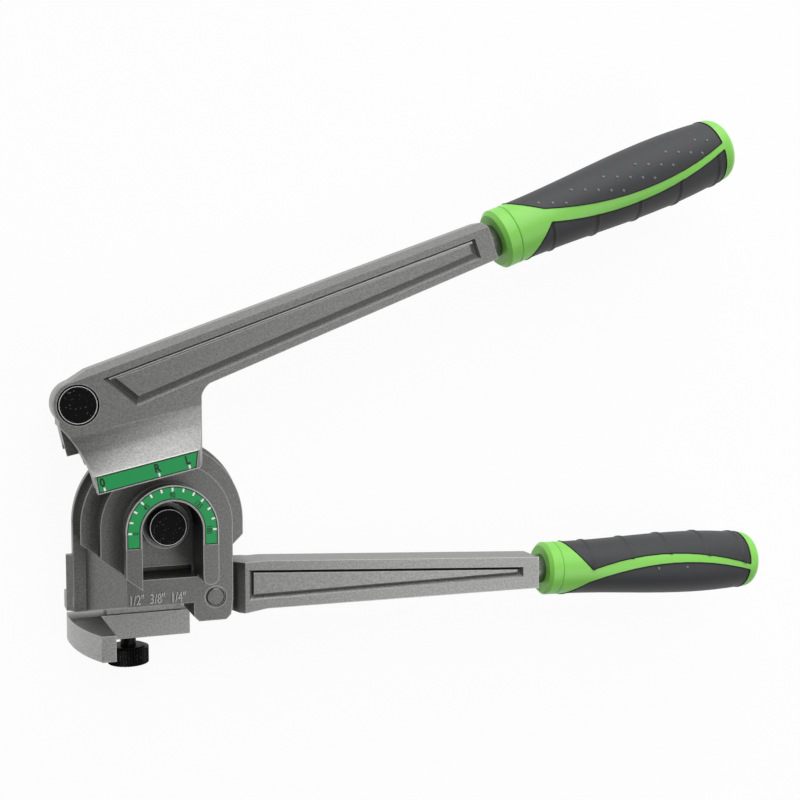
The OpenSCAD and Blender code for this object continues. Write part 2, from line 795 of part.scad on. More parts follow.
// Side view of the web under the lever, from the eye down to a given distance
module web_outline(drop) {
    difference() {
        intersection() {
            rotate(shoe_a) translate([-far, -drop]) square([2 * far, drop - 2]);
            translate([-0.77 * eye_r, -far]) square([0.77 * eye_r + shoe_right, far + 20]);
            rotate(lever_a) translate([-far, -far]) square([2 * far, far]);
        }
        translate([-hollow_x, -hollow_y]) circle(hollow_r);
    }
}

// Side view of the rear step, which reaches past the hollow on the left
module rear_step_outline() {
    difference() {
        intersection() {
            rotate(shoe_a) translate([-shoe_left, -drop_large]) square([far, drop_large - 2]);
            translate([-far, -far]) square([far + shoe_right, 2 * far]);
            rotate(lever_a) translate([-far, -far]) square([2 * far, far]);
        }
        circle(link_eye_r + 2.5);
    }
}

// Fillet between the web's right side and the lever, a little past touching both
module fillet_outline() {
    edge_a = lever_a + atan((low_root - low_tip) / lever_reach);
    start = low_root * [sin(lever_a), -cos(lever_a)];
    corner = [shoe_right, start[1] + (shoe_right - start[0]) * tan(edge_a)];
    centre = corner + [shoe_fillet, shoe_fillet * tan(edge_a) - shoe_fillet / cos(edge_a)];
    difference() {
        polygon([corner + [-3, 3], [corner[0] - 3, centre[1]], centre, centre + [-shoe_fillet * sin(edge_a), shoe_fillet + 3]]);
        translate(centre) circle(shoe_fillet + 0.3);
    }
}

// Slanted band along the upper front edge of the lever
module top_slant() {
    rotate([0, 0, lever_a]) rotate([90, 0, 90]) linear_extrude(2 * far, center = true)
        polygon([[lever_top - 1.5 * slant_h, lever_front + slant_t / 2],
            [lever_top + slant_h / 2, lever_front - 1.5 * slant_t], [lever_top + slant_h / 2, lever_front + slant_t / 2]]);
}

// Front of the shoe flares forward to the mark strip in a hollow curve
module flare() {
    dip = 1;
    rise = dial_z - web_front + dip;
    strip_top = -drop_small + strip_h + 1;
    hollow = (pow(rise, 2) + pow(flare_run, 2)) / (2 * rise);
    intersection() {
        rotate([0, 0, shoe_a]) rotate([90, 0, 90]) linear_extrude(2 * far, center = true) difference() {
            translate([-drop_small, web_front - 2 * dip]) square([strip_h + 1 + flare_run, rise + dip]);
            translate([strip_top + flare_run, web_front - dip + hollow]) circle(hollow);
        }
        linear_extrude(far) web_outline(drop_small);
        rotate([90, 0, 0]) linear_extrude(2 * far, center = true)
            polygon([[-far, web_front - 10], [shoe_right + 10 * side_lean, web_front - 10],
                [shoe_right - 10 * side_lean, web_front + 10], [-far, web_front + 10]]);
    }
}

module shoe_groove(drop, z, r) {
    rotate([0, 0, shoe_a]) translate([0, -drop, z]) rotate([0, 90, 0]) cylinder(r = r, h = 2 * far, center = true);
}

module strip_recess(grow, thick) {
    low = -drop_small + 0.6;
    right = strip_start + strip_len;
    translate([0, 0, dial_z - dial_t - inlay_gap]) linear_extrude(thick) rotate(shoe_a)
        polygon([[strip_start - grow, low - grow], [right + grow, low - grow],
            [right + strip_lean + grow, low + strip_h + grow], [strip_start + 0.4 - grow, low + strip_h + grow]]);
}

module forming_lever() {
    paint_casting() at_eye(0) difference() {
        union() {
            translate([0, 0, lever_back]) linear_extrude(lever_t) {
                rotate(lever_a) lever_outline();
                circle(eye_r);
                fillet_outline();
            }
            translate([0, 0, step_small_z]) linear_extrude(web_front - step_small_z) web_outline(drop_small);
            translate([0, 0, step_middle_z]) linear_extrude(web_front - step_middle_z) web_outline(drop_middle);
            translate([0, 0, lever_back]) linear_extrude(web_front - lever_back) web_outline(drop_large);
            translate([0, 0, step_large_z]) linear_extrude(step_middle_z - step_large_z) rear_step_outline();
            flare();
            rotate([0, 0, lever_a]) translate([lever_reach, grip_rise, handle_z]) rotate([0, 0, grip_tilt])
                scale(upper_ratio) neck_and_rod();
        }
        shoe_groove(drop_small, small_z, groove_r_small);
        shoe_groove(drop_middle, middle_z, groove_r_middle);
        shoe_groove(drop_large, large_z, groove_r_large);
        strip_recess(inlay_gap, far);
        lever_recess();
        translate([0, 0, lever_back + channel_d / 2 - far]) linear_extrude(far) rotate(lever_a) back_recess_outline();
        top_slant();
        translate([0, 0, -eps]) cylinder(r = pin_r + bush_wall + press_clear, h = far);
        translate([0, 0, lever_front - eye_head_t - 0.6]) cylinder(r = eye_head_r + 0.35, h = far);
    }
}

module lever_bush() {
    paint_steel() at_eye(0) bush(lever_back, lever_front - eye_head_t - 0.6);
}

module mark_strip() {
    paint_green() at_eye(0) strip_recess(0, dial_t);
}

module upper_place() {
    at_eye(lever_a) translate([lever_reach, grip_rise, handle_z]) rotate([0, 0, grip_tilt]) scale(upper_ratio) children();
}

module upper_grip_core() { paint_lime() upper_place() grip_core(); }
module upper_palm_pad() { paint_pad() upper_place() pad(true); }
module upper_finger_pad() { paint_pad() upper_place() pad(false); }

// Clamp: a bar that slides along the rail, with a jaw that keeps the tube from swinging out

module jaw_outline() {
    back_left = [-rail_left + 1, 0];
    front_left = [-jaw_right - jaw_front, jaw_z];
    chord = norm(front_left - back_left);
    lean = atan2(front_left[0] - back_left[0], front_left[1] - back_left[1]);
    middle = (front_left + back_left) / 2;
    inset = sqrt(pow(jaw_r, 2) - pow(chord / 2, 2));
    centre = middle + inset * [cos(lean), -sin(lean)];
    intersection() {
        translate(centre) circle(jaw_r);
        polygon([[-far, 0], [-far, jaw_z], [-jaw_right, jaw_z], [-jaw_right - 3, bar_t], [-jaw_right - 3, 0]]);
    }
}

module jaw() {
    sink = 2.6;
    slope = sink / (jaw_z - bar_t);
    intersection() {
        translate([0, clamp_top + 1, 0]) rotate([90, 0, 0]) linear_extrude(clamp_h + sink + 2) jaw_outline();
        rotate([90, 0, 90]) linear_extrude(2 * far, center = true)
            polygon([[clamp_top - 0.1, -1], [clamp_top - 0.1, bar_t], [clamp_top - sink - slope, jaw_z + 1],
                [clamp_low - sink - slope, jaw_z + 1], [clamp_low + 0.1, bar_t], [clamp_low + 0.1, -1]]);
    }
}

module tube_clamp() {
    lip = 2.2;
    paint_casting() difference() {
        union() {
            jaw();
            translate([-jaw_right - 4, clamp_low, 0]) cube([jaw_right + 4 + bar_right, clamp_h, bar_t]);
            translate([-jaw_right, clamp_top - 1, 1]) cube([jaw_right + bar_right - 4, clamp_gap + 0.7, bar_t - lip]);
        }
        translate([-screw_x, 0, screw_z]) rotate([90, 0, 0]) cylinder(r = screw_r + 0.3, h = far);
    }
}

module clamp_nut() {
    low = -rail_drop + lip_h + nut_gap;
    paint_steel() difference() {
        translate([-screw_x - nut_len / 2, low, screw_z - nut_w / 2]) cube([nut_len, nut_h, nut_w]);
        translate([-screw_x, 0, screw_z]) rotate([90, 0, 0]) cylinder(r = screw_r + run_clear, h = far);
    }
}

module knob_outline() {
    depth = 0.5;
    polygon([for (i = [0 : 2 * knob_flutes - 1]) let (r = knob_r - depth * (i % 2), a = 180 * i / knob_flutes)
        [r * cos(a), r * sin(a)]]);
}

module thumbscrew() {
    thread = -rail_drop + lip_h + nut_gap + nut_h + 0.4 - clamp_low;
    paint_black() translate([-screw_x, clamp_low, screw_z]) rotate([90, 0, 0]) {
        translate([0, 0, -thread]) cylinder(r = screw_r, h = thread + eps);
        cylinder(r = screw_neck_r, h = screw_neck + eps);
        translate([0, 0, screw_neck]) linear_extrude(knob_h) knob_outline();
        translate([0, 0, screw_neck - 0.8]) cylinder(r1 = knob_r - 2, r2 = knob_r - 1.2, h = 0.8 + eps);
    }
}

former();
angle_dial();
centre_pin();
centre_pin_clip();
handle_lock_pin();
lower_arm();
lower_grip_core();
lower_palm_pad();
lower_finger_pad();
link();
link_bush();
eye_pin();
eye_pin_clip();
forming_lever();
lever_bush();
mark_strip();
upper_grip_core();
upper_palm_pad();
upper_finger_pad();
tube_clamp();
clamp_nut();
thumbscrew();
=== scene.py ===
"""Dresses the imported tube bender: finishes, printed and raised marks, and a plain studio."""

import math

import bmesh
import bpy
from mathutils import Matrix, Vector
from mathutils.bvhtree import BVHTree


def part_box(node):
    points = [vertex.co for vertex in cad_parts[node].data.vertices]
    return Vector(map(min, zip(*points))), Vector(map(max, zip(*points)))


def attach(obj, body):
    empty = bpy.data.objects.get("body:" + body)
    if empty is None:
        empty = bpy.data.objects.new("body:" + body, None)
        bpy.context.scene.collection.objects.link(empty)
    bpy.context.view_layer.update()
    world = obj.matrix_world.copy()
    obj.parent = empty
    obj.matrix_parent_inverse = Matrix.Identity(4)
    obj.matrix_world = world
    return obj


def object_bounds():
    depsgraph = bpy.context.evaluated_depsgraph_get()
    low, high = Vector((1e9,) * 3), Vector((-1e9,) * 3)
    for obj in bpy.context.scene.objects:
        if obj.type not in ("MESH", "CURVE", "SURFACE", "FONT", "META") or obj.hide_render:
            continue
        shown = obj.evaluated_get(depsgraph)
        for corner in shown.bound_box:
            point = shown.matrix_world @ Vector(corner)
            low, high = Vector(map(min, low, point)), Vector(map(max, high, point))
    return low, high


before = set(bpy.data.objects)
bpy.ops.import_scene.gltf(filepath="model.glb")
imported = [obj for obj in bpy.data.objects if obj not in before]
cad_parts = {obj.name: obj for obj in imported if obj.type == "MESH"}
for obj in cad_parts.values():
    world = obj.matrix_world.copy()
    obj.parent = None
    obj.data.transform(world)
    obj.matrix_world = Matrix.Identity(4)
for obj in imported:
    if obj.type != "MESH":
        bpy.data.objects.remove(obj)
CAD_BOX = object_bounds()

bl_info = {
    "name": "Tube Bender Dressing",
    "version": (1, 0, 0),
    "blender": (4, 5, 0),
    "location": "View3D > Sidebar > Tube Bender",
    "description": "Finishes, marks and studio for a three-size lever tube bender",
    "category": "Object",
}

MM = 0.001

HANDLE_CASTINGS = ("lower_arm", "link", "forming_lever")
FORMER_CASTINGS = ("former", "handle_lock_pin")
CLAMP_CASTINGS = ("tube_clamp",)
BLACK_STEEL = ("centre_pin", "eye_pin", "thumbscrew")
PLAIN_STEEL = ("centre_pin_clip", "eye_pin_clip", "clamp_nut")
BUSHES = ("link_bush", "lever_bush")
GRIP_CORES = ("lower_grip_core", "upper_grip_core")
PALM_PADS = ("lower_palm_pad", "upper_palm_pad")
FINGER_PADS = ("lower_finger_pad", "upper_finger_pad")

# Middle of the lever's eye, and the angle of the shoe's marked edge at rest
EYE = Vector((-41.2157 * MM, 59.5223 * MM, 0))
SHOE_TURN = math.radians(12.6)
# Where each grip begins, how far it is turned, how large it is, and the body that it rides on
GRIPS = {
    "lower": (Vector((199.8 * MM, -35.0 * MM, 37.0 * MM)), math.radians(-1.6), 0.88, "base"),
    "upper": (Vector((171.598 * MM, 139.108 * MM, 37.0 * MM)), math.radians(21.5), 0.98, "lever"),
}
# The recess in each handle: the frame of its lines, its face's height in mm, its body, and its edges in
# turn (lower, right, upper, left). Each edge is a point in mm, an angle in degrees, and how far in mm
# the raised panel keeps from it at each of PANEL_DEPTHS, which are in mm below the face.
LEVER_LINES = Matrix.Translation(EYE) @ Matrix.Rotation(math.radians(20), 4, "Z")
RECESSES = {
    "lever": (LEVER_LINES, 47.0, "lever", (
        ((0, -11.1), 2.117, (4.0, 1.9, 1.6, 2.0)),
        ((213.2, 0), 90, (4.0, 1.5, 1.1, 1.3)),
        ((0, 7.4), 180, (1.9, 1.85, 0.8, 0.9)),
        ((14.5, 7.4), -60, (4.2, 1.85, 1.5, 1.75)),
    )),
    "arm": (Matrix(), 46.0, "base", (
        ((47.4, -37.5), 0.272, (2.7, 1.8, 1.6, 2.0)),
        ((185.8, 0), 90, (3.4, 1.5, 1.1, 1.3)),
        ((47.4, -23.3), 176.545, (1.3, 1.25, 0.9, 1.05)),
        ((38.4, 0), -90, (2.2, 2.1, 2.0, 2.45)),
    )),
}
PANEL_DEPTHS = (0.4, 1.7, 1.9, 2.4)

# Dots on a palm pad, in mm of a full-size grip: rows, dots in a row, the first dot, the pitch of the
# rows along the grip, and the step from one dot to the next
DOT_ROWS = 6
DOTS_IN_ROW = 5
FIRST_DOT = (26, 10.7)
ROW_PITCH = 20
DOT_STEP = (6.7, -2.65)
# How far from the grip's middle the search for the pad's surface starts, and how far it goes, in mm
SEARCH_START = 60
SEARCH_REACH = 55
# The least share of Z in the pad's normal under a dot
DOT_FACING = 0.3

# Letters of the strip, with their places along the shoe's marked edge in mm from the eye
STRIP_LETTERS = (("0", 1.4), ("R", 27.0), ("L", 41.5))
# Where the strip's lines begin and its letters stand, in mm from the eye across the shoe, and how far
# a line lies to the right of the middle of its letter
STRIP_LINE_FOOT = -40.5
STRIP_LETTER_ROW = -36.4
STRIP_LINE_SHIFT = 0.3
DIAL_FIGURES = (0, 45, 90, 135, 180)
# Distance from a tick's inner end to the middle of its figure, in heights of a figure
FIGURE_GAP = 0.75
# Raised tube sizes with their places along X, their row in Y, the height of the face that they stand
# on, and how far they are sunk in it, in mm
SIZE_MARKS = (('1/2"', -15.3), ('3/8"', -5.4), ('1/4"', 4.5))
SIZE_ROW = -34.3
SIZE_FACE = 41.32
SIZE_SINK = 0.2
# Width of the letters against the font's own, and how far their strokes are thickened
DIAL_TYPE = (0.8, 0.05 * MM)
STRIP_TYPE = (0.85, 0.2 * MM)
SIZE_TYPE = (0.68, 0.06 * MM)
# Height of a capital against the font's size
CAPITAL_SHARE = 0.72

# Height of the painted highlight ring on a pin head
RING_RISE = 0.04 * MM
# Corners this close are one corner
WELD_GAP = 0.002 * MM
# Angles from which an edge of a casting is rounded and an edge of a pad gets a painted shadow along its joint
CAST_EDGE_ANGLE = math.radians(35)
PAD_EDGE_ANGLE = math.radians(60)
# Shares of the outward direction in a normal from which a face is a plate's front or a pad's outside
FRONT_FACING = 0.9
OUTSIDE_FACING = 0.6
# Dull and bright flakes of the paint: a level of the grain, and a share of the paint's colour
DULL_FLAKE = (0.3, 0.78)
BRIGHT_FLAKE = (0.72, 1.25)
# Levels of the grain between which black turns into a pale fleck
FLECK_LEVELS = (0.66, 0.76)

# Camera, in mm of sensor and m of depth, with its axes: backwards, and roughly to the right
SENSOR_WIDTH = 36
CLIP_END = 40
CAMERA_BACK = Vector((-0.3524, 0.0696, 0.9332)).normalized()
CAMERA_RIGHT = Vector((0.9355, 0.0005, 0.3532))
# Middle of the floor, its gap under the part, and the share of plain white in what is seen of it
FLOOR_MIDDLE = (0.14, 0.05)
FLOOR_GAP = 0.3 * MM
FLOOR_WHITE = 0.94
# The way from the dim to the bright side of the surroundings
BRIGHT_WAY = (0.45, 0.88, 0.0)
# Lamps: name, place in m, side in m and power in W, all aimed at one point
LAMPS = (
    ("key_lamp", (0.2, 2.1, 1.4), 3.0, 62),
    ("fill_lamp", (0.75, -0.4, 1.2), 0.8, 4.5),
)
LAMP_AIM = Vector((0.1, 0.05, 0.02))


def linear(hex_colour):
    """Linear RGBA of an sRGB hex colour such as #808080."""
    channels = [int(hex_colour[i:i + 2], 16) / 255 for i in (1, 3, 5)]
    return tuple(c / 12.92 if c <= 0.04045 else ((c + 0.055) / 1.055) ** 2.4 for c in channels) + (1.0,)


def colour_value(name, description, hex_colour):
    """A setting for a colour."""
    return bpy.props.FloatVectorProperty(name=name, description=description, subtype="COLOR", size=4,
                                         min=0, max=1, default=linear(hex_colour))


def length_value(name, description, length):
    """A setting for a length in metres."""
    return bpy.props.FloatProperty(name=name, description=description, unit="LENGTH", default=length)


class TubeBenderLooks(bpy.types.PropertyGroup):
    """Colours and surface sizes of the tool's finishes."""

    casting_colour: colour_value("Casting", "Grey metallic paint on the castings", "#8A8A88")
    # The former's darker copy and the clamp's paler copy of the casting paint are painted shade and painted
    # light.
    former_shade: bpy.props.FloatProperty(
        name="Former painted shade", description="Brightness of the former's paint against the handles'",
        default=0.75)
    clamp_shade: bpy.props.FloatProperty(
        name="Clamp painted light", description="Brightness of the clamp's paint against the handles'",
        default=1.45)
    casting_grain: length_value("Casting grain", "Width of one grain of the blasted casting", 0.9 * MM)
    # The pale band along outer edges is a painted highlight where the edges catch the light, with paint
    # rubbed thin there.
    worn_colour: colour_value("Edge highlight", "Metal that shows where the paint is rubbed thin", "#D6D6D4")
    worn_width: length_value("Edge highlight width", "Width of the rubbed band along an outer edge", 0.8 * MM)
    black_colour: colour_value("Black oxide", "Pins and thumbscrew", "#060606")
    black_grain: length_value("Black grain", "Width of one grain of the blackened steel", 0.8 * MM)
    fleck_colour: colour_value("Black fleck", "Spots where the blacking is rubbed off", "#6E6E70")
    dial_colour: colour_value("Dial green", "Printed dial and mark strip", "#129850")
    mark_colour: colour_value("Mark white", "Lines on the dial and the strip", "#F2F5F2")
    figure_colour: colour_value("Figure dark", "Figures, letters and borders of dial and strip", "#0F2A1A")
    grip_colour: colour_value("Lime", "Hard plastic of the grips", "#88D65A")
    pad_colour: colour_value("Pad grey", "Soft pads of the grips", "#333436")
    pad_grain: length_value("Pad grain", "Width of one grain of the soft pads", 0.7 * MM)
    edge_round: length_value("Edge radius", "Radius of a cast edge", 0.7 * MM)
    # The bead along a pad's edge is a painted shadow along its joint with the core.
    seam_radius: length_value("Seam radius", "Radius of the bead along a pad's edge", 0.4 * MM)
    dot_radius: length_value("Dot radius", "Radius of a raised dot on a palm pad", 0.9 * MM)
    dot_rise: length_value("Dot rise", "How far a dot stands out of its pad", 0.45 * MM)
    # The thin light ring on a pin head is a painted highlight on its rim.
    ring_radius: length_value("Ring radius", "Outer radius of the worn ring on a pin head", 8.7 * MM)
    ring_width: length_value("Ring width", "Width of the worn ring on a pin head", 0.3 * MM)


class TubeBenderMarks(bpy.types.PropertyGroup):
    """Sizes of the printed and raised marks."""

    tick_step: bpy.props.FloatProperty(
        name="Tick step", description="Angle between two dial ticks", subtype="ANGLE",
        default=math.radians(15))
    tick_radius: length_value("Tick radius", "Radius of the outer end of the dial ticks", 20.7 * MM)
    tick_length: length_value("Tick length", "Length of a printed line", 1.8 * MM)
    tick_width: length_value("Tick width", "Width of a printed line", 0.85 * MM)
    border_width: length_value("Border width", "Width of the dark line round dial and strip", 0.35 * MM)
    figure_height: length_value("Figure height", "Height of the dial figures", 2.5 * MM)
    letter_height: length_value("Letter height", "Height of the letters on the strip", 3.9 * MM)
    size_height: length_value("Size mark height", "Height of the raised tube sizes", 4.8 * MM)
    size_relief: length_value("Size mark relief", "How far the tube sizes stand out", 0.6 * MM)
    print_relief: length_value("Ink thickness", "How far a printed line stands out", 0.04 * MM)


class TubeBenderStage(bpy.types.PropertyGroup):
    """The camera and the studio."""

    lens: bpy.props.FloatProperty(
        name="Lens", description="Focal length on a 36 mm sensor", default=57.0)
    camera_place: bpy.props.FloatVectorProperty(
        name="Camera", description="Place of the camera", subtype="TRANSLATION", size=3,
        default=(-107.59 * MM, 102.32 * MM, 638.97 * MM))
    floor_colour: colour_value("Floor", "Colour of the floor", "#F4F4F4")
    floor_radius: length_value("Floor radius", "Radius of the round floor", 8.0)
    rim_height: length_value("Rim height", "Height of the floor's curved rim", 1.6)


def add_node(tree, kind, settings=None, links=None):
    """Adds a node, sets its properties or inputs by name, and links its inputs by name or number."""
    node = tree.nodes.new(kind)
    for key, value in (settings or {}).items():
        if hasattr(node, key):
            setattr(node, key, value)
        else:
            node.inputs[key].default_value = value
    for key, source in (links or {}).items():
        tree.links.new(source, node.inputs[key])
    return node


def start_material(name):
    """A node material without nodes, and its tree."""
    material = bpy.data.materials.new(name)
    material.use_nodes = True
    material.node_tree.nodes.clear()
    return material, material.node_tree


def add_surface(tree, settings, links=None):
    """Ends a material with a principled surface."""
    shader = add_node(tree, "ShaderNodeBsdfPrincipled", settings, links)
    add_node(tree, "ShaderNodeOutputMaterial", links={"Surface": shader.outputs["BSDF"]})


def add_grain(tree, cell, roughness, strength, rise):
    """The outputs of a noise with cells of one size, and of the bumpy normal that it gives."""
    place = add_node(tree, "ShaderNodeTexCoord")
    noise = add_node(tree, "ShaderNodeTexNoise", {"Scale": 1.0 / cell, "Detail": 2.0, "Roughness": roughness},
                     {"Vector": place.outputs["Object"]})
    bump = add_node(tree, "ShaderNodeBump", {"Strength": strength, "Distance": rise},
                    {"Height": noise.outputs["Fac"]})
    return noise.outputs["Fac"], bump.outputs["Normal"]


def add_ramp(tree, level, stops):
    """The output of a ramp between two colours, each given with its level."""
    ramp = add_node(tree, "ShaderNodeValToRGB", links={"Fac": level})
    for element, (position, colour) in zip(ramp.color_ramp.elements, stops):
        element.position = position
        element.color = colour
    return ramp.outputs["Color"]


def add_maths(tree, operation, *values):
    """The output of a maths node over outputs and numbers."""
    node = add_node(tree, "ShaderNodeMath", {"operation": operation})
    for socket, value in zip(node.inputs, values):
        if isinstance(value, bpy.types.NodeSocket):
            tree.links.new(value, socket)
        else:
            socket.default_value = value
    return node.outputs["Value"]


def cast_paint(looks, name, shade):
    """Metallic grey enamel on a blasted die casting: broad glints, a fine sparkling grain, and a pale band
    along the outer edges that is a painted highlight with rubbed paint; shade scales the colour into the
    painted shade and painted light of the former and clamp.
    """
    material, tree = start_material(name)
    grain, normal = add_grain(tree, looks.casting_grain, roughness=0.6, strength=0.35, rise=0.06 * MM)
    base = [shade * c for c in looks.casting_colour[:3]]
    flakes = add_ramp(tree, grain, [(level, tuple(min(1.0, share * c) for c in base) + (1.0,))
                                    for level, share in (DULL_FLAKE, BRIGHT_FLAKE)])
    # Rays cast into the piece meet a face nearby only close to an outer edge; a pale band is mixed in there,
    # a painted highlight along the edge together with paint rubbed thin.
    depth = add_node(tree, "ShaderNodeAmbientOcclusion",
                     {"inside": True, "only_local": True, "samples": 8, "Distance": looks.worn_width})
    rubbed = add_node(tree, "ShaderNodeMapRange",
                      {"From Min": 0.85, "From Max": 0.4, "To Min": 0.0, "To Max": 0.75},
                      {"Value": depth.outputs["AO"]})
    colour = add_node(tree, "ShaderNodeMixRGB", {"Color2": looks.worn_colour},
                      {"Fac": rubbed.outputs["Result"], "Color1": flakes})
    add_surface(tree, {"Metallic": 0.9, "Roughness": 0.4},
                {"Base Color": colour.outputs["Color"], "Normal": normal})
    return material


def black_oxide(looks):
    """Blackened turned steel: nearly black, with a dull sheen and a few pale flecks where it is rubbed."""
    material, tree = start_material("black_oxide_steel")
    grain, normal = add_grain(tree, looks.black_grain, roughness=0.5, strength=0.3, rise=0.05 * MM)
    flecks = add_ramp(tree, grain, zip(FLECK_LEVELS, (looks.black_colour, looks.fleck_colour)))
    add_surface(tree, {"Roughness": 0.42, "Specular IOR Level": 0.12},
                {"Base Color": flecks, "Normal": normal})
    return material


def soft_rubber(looks):
    """Moulded thermoplastic rubber: soft dark grey with a fine matt grain and broad dim glints."""
    material, tree = start_material("moulded_rubber")
    normal = add_grain(tree, looks.pad_grain, roughness=0.6, strength=0.4, rise=0.06 * MM)[1]
    add_surface(tree, {"Base Color": looks.pad_colour, "Roughness": 0.55, "IOR": 1.5}, {"Normal": normal})
    return material


def plain_finish(name, colour, metallic, roughness):
    """A smooth finish of one colour, such as ground steel, ink or moulded plastic."""
    material, tree = start_material(name)
    add_surface(tree, {"Base Color": colour, "Metallic": metallic, "Roughness": roughness})
    return material


def studio_paper(colour):
    """White paper under the tool: plain white to the eye, with a trace of the tool's shadow."""
    material, tree = start_material("white_studio_floor")
    rays = add_node(tree, "ShaderNodeLightPath")
    bounced = add_maths(tree, "MAXIMUM", rays.outputs["Is Glossy Ray"], rays.outputs["Is Transmission Ray"])
    seen = add_maths(tree, "MAXIMUM", rays.outputs["Is Camera Ray"], bounced)
    share = add_maths(tree, "MULTIPLY", seen, FLOOR_WHITE)
    paper = add_node(tree, "ShaderNodeBsdfDiffuse", {"Color": colour})
    glow = add_node(tree, "ShaderNodeEmission", {"Strength": 1.0})
    mix = add_node(tree, "ShaderNodeMixShader",
                   links={"Fac": share, 1: paper.outputs["BSDF"], 2: glow.outputs["Emission"]})
    add_node(tree, "ShaderNodeOutputMaterial", links={"Surface": mix.outputs["Shader"]})
    return material


def finish(names, material):
    """Gives CAD nodes a finish."""
    for name in names:
        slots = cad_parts[name].data.materials
        slots.clear()
        slots.append(material)


def round_edges(pieces, radius):
    """Rounds the sharp edges of pieces for show."""
    for piece in pieces:
        weld = piece.modifiers.new("join_corners", "WELD")
        weld.merge_threshold = WELD_GAP
        bevel = piece.modifiers.new("cast_edge", "BEVEL")
        bevel.width = radius
        bevel.segments = 2
        bevel.limit_method = "ANGLE"
        bevel.angle_limit = CAST_EDGE_ANGLE
        bevel.use_clamp_overlap = True
        bevel.harden_normals = True


def settle(piece, body, material):
    """Finishes a new piece and lets it ride on a body."""
    piece.data.materials.append(material)
    bpy.context.scene.collection.objects.link(piece)
    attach(piece, body)


def as_object(name, mesh):
    """Turns a finished bmesh into an object."""
    data = bpy.data.meshes.new(name)
    mesh.to_mesh(data)
    mesh.free()
    return bpy.data.objects.new(name, data)


def cad_mesh(name):
    """A joined-up copy of a CAD node's mesh, in the coordinates of the frame."""
    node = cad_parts[name]
    mesh = bmesh.new()
    mesh.from_mesh(node.data)
    mesh.transform(node.matrix_world)
    bmesh.ops.remove_doubles(mesh, verts=mesh.verts, dist=WELD_GAP)
    mesh.normal_update()
    return mesh


def square_to(vector, axis):
    """The direction that is left of a vector without its part along an axis."""
    return (vector - axis * vector.dot(axis)).normalized()


def standing(place, way):
    """The matrix that sets Z along a way at a place."""
    return Matrix.Translation(place) @ way.to_track_quat("Z", "Y").to_matrix().to_4x4()


def add_circle(mesh, sides, radius, middle):
    """Corners of a circle that lies in X and Y round a middle."""
    turns = (2 * math.pi * i / sides for i in range(sides))
    return [mesh.verts.new(middle + Vector((radius * math.cos(a), radius * math.sin(a), 0))) for a in turns]


def add_band(mesh, first, second, smooth):
    """Faces between two circles with the same number of corners."""
    for i in range(len(first)):
        j = (i + 1) % len(first)
        mesh.faces.new((first[i], first[j], second[j], second[i])).smooth = smooth


def line_boxes(name, lines, thickness):
    """One piece of flat bars: each line is (start, end, width), lies in X and Y and has a thickness in Z."""
    mesh = bmesh.new()
    for start, end, width in lines:
        run = end - start
        middle = (start + end) / 2 + Vector((0, 0, thickness / 2))
        place = Matrix.Translation(middle) @ Matrix.Rotation(math.atan2(run.y, run.x), 4, "Z")
        bmesh.ops.create_cube(mesh, size=1.0,
                              matrix=place @ Matrix.Diagonal((run.length, width, thickness, 1)))
    return as_object(name, mesh)


def border_lines(name, width):
    """Lines that run just inside the edge of a plate's front face, for line_boxes."""
    mesh = cad_mesh(name)
    lines = []
    for edge in mesh.edges:
        fronts = [face for face in edge.link_faces if face.normal.z > FRONT_FACING]
        if len(fronts) != 1:
            continue
        start, end = (vertex.co.copy() for vertex in edge.verts)
        inwards = square_to(fronts[0].calc_center_median() - start, (end - start).normalized())
        lines.append((start + inwards * width / 2, end + inwards * width / 2, width))
    mesh.free()
    return lines


def flat_ring(name, outer, width, middle, thickness):
    """A thin flat ring lying in X and Y round a middle, standing up by a thickness."""
    sides = 96
    mesh = bmesh.new()
    rise = Vector((0, 0, thickness))
    inner = outer - width
    circles = [add_circle(mesh, sides, radius, place) for radius, place in (
        (outer, middle), (outer, middle + rise), (inner, middle + rise), (inner, middle))]
    for k in range(len(circles)):
        add_band(mesh, circles[k], circles[(k + 1) % len(circles)], False)
    return as_object(name, mesh)


def pad_dots(name, pad, grip, radius, rise):
    """Rows of low domes on the front and back of a palm pad. A dot that misses the pad is dropped."""
    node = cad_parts[pad]
    surface = BVHTree.FromObject(node, bpy.context.evaluated_depsgraph_get())
    to_pad = node.matrix_world.inverted()
    margin = 2 * radius
    mesh = bmesh.new()
    places = [(side, row, step) for side in (1, -1) for row in range(DOT_ROWS) for step in range(DOTS_IN_ROW)]
    for side, row, step in places:
        x = (FIRST_DOT[0] + ROW_PITCH * row + DOT_STEP[0] * step) * MM
        y = (FIRST_DOT[1] + DOT_STEP[1] * step) * MM
        hits = []
        for dx, dy in ((0, 0), (margin, 0), (-margin, 0), (0, -margin), (0, margin)):
            start = to_pad @ (grip @ Vector((x + dx, y + dy, side * SEARCH_START * MM)))
            hits.append(surface.ray_cast(start, Vector((0, 0, -side)), SEARCH_REACH * MM))
        spot, normal = hits[0][:2]
        if any(hit[0] is None for hit in hits) or abs(normal.z) < DOT_FACING:
            continue
        bmesh.ops.create_icosphere(mesh, subdivisions=2, radius=1.0,
                                   matrix=standing(spot, normal) @ Matrix.Diagonal((radius, radius, rise, 1)))
    for face in mesh.faces:
        face.smooth = True
    return as_object(name, mesh)


